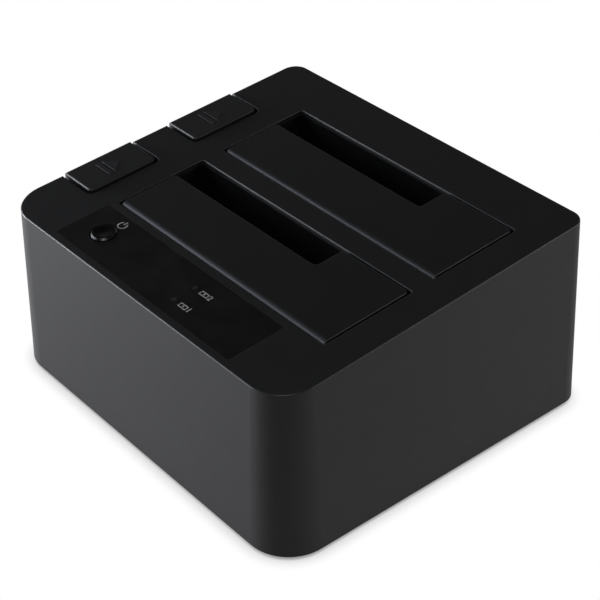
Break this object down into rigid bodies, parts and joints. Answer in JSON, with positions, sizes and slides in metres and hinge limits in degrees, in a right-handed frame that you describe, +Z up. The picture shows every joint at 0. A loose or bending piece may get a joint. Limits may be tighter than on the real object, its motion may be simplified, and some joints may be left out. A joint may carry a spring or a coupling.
{
  "type": "dual-bay drive duplicator dock",
  "caption": "Desktop docking station with a sloped top: two drive bays under L-shaped sprung flaps, side eject keys, a power key and status lights.",
  "frame": {"origin": "centre of the footprint, on the ground plane under the feet", "axes": "+X to the right along the bays, +Y to the back where the ports are, +Z up; the low front edge with the power key faces -Y"},
  "size_m": [0.1474, 0.1298, 0.0705],
  "materials": {
    "housing": "fine spark-eroded texture",
    "cover": "fine texture",
    "feet": "soft black rubber",
    "well": "plain moulded",
    "door": "satin moulded",
    "key": "satin moulded",
    "panel": "smooth inlay",
    "power_key": "smooth",
    "board": "green solder resist",
    "chip": "moulded package",
    "can": "bare can",
    "screw": "black zinc",
    "pin": "bright",
    "spring": "drawn wire",
    "socket": "glass-filled",
    "shell": "nickel-plated shell",
    "usb": "white insulator",
    "inlet": "moulded",
    "lever": "natural acetal",
    "light": "frosted clear",
    "lamp": "diffused lens"
  },
  "bodies": {
    "dock": {"top_housing": "housing", "bottom_cover": "cover", "rubber_feet": "feet", "main_board": "board", "board_chips": "chip", "board_capacitors": "can", "cover_screws": "screw", "board_screws": "screw", "well_screws": "screw", "panel_screws": "screw", "usb_port": "shell", "usb_insulator": "usb", "power_inlet": "inlet", "inlet_pin": "pin", "status_panel": "panel", "power_switch": "chip", "button_board": "board", "status_leds": "lamp", "light_pipes": "light", "sata_socket_1": "socket", "drive_well_1": "well", "hinge_pin_1": "pin", "lever_pin_1": "pin", "eject_spring_1": "spring", "sata_socket_2": "socket", "drive_well_2": "well", "hinge_pin_2": "pin", "lever_pin_2": "pin", "eject_spring_2": "spring"},
    "power_key": {"power_button": "power_key"},
    "door_1": {"bay_door_1": "door"},
    "eject_key_1": {"eject_button_1": "key"},
    "rocker_1": {"eject_lever_1": "lever"},
    "door_2": {"bay_door_2": "door"},
    "eject_key_2": {"eject_button_2": "key"},
    "rocker_2": {"eject_lever_2": "lever"}
  },
  "joints": [
    {"name": "door_1_hinge", "type": "hinge", "parent": "dock", "child": "door_1", "pos_m": [0.0075, -0.0331, 0.06064], "axis": [-1, 0, 0], "range_deg": [0, 94], "stiffness_Nm_per_rad": 0.01, "springref_deg": -28.65},
    {"name": "eject_key_1_slide", "type": "slide", "parent": "dock", "child": "eject_key_1", "axis": [0, 0, -1], "range_m": [0, 0.0062], "stiffness_N_per_m": 250, "springref_m": -0.004, "deforming": ["eject_spring_1"]},
    {"name": "rocker_1_pivot", "type": "hinge", "parent": "dock", "child": "rocker_1", "pos_m": [-0.052, -0.02575, 0.0178], "axis": [0, -1, 0], "range_deg": [0, 30.5]},
    {"name": "door_2_hinge", "type": "hinge", "parent": "dock", "child": "door_2", "pos_m": [0.0075, 0.0105, 0.06396], "axis": [-1, 0, 0], "range_deg": [0, 94], "stiffness_Nm_per_rad": 0.01, "springref_deg": -28.65},
    {"name": "eject_key_2_slide", "type": "slide", "parent": "dock", "child": "eject_key_2", "axis": [0, 0, -1], "range_m": [0, 0.0062], "stiffness_N_per_m": 250, "springref_m": -0.004, "deforming": ["eject_spring_2"]},
    {"name": "rocker_2_pivot", "type": "hinge", "parent": "dock", "child": "rocker_2", "pos_m": [-0.052, 0.01785, 0.0178], "axis": [0, -1, 0], "range_deg": [0, 30.5]},
    {"name": "power_key_slide", "type": "slide", "parent": "dock", "child": "power_key", "axis": [0, 0.0758, -0.9971], "range_m": [0, 0.0005], "stiffness_N_per_m": 800, "springref_m": -0.0004}
  ],
  "couplings": [
    {"joint": "rocker_1_pivot", "follows": "eject_key_1_slide", "rad_per_m": 84.451},
    {"joint": "rocker_2_pivot", "follows": "eject_key_2_slide", "rad_per_m": 84.451}
  ]
}
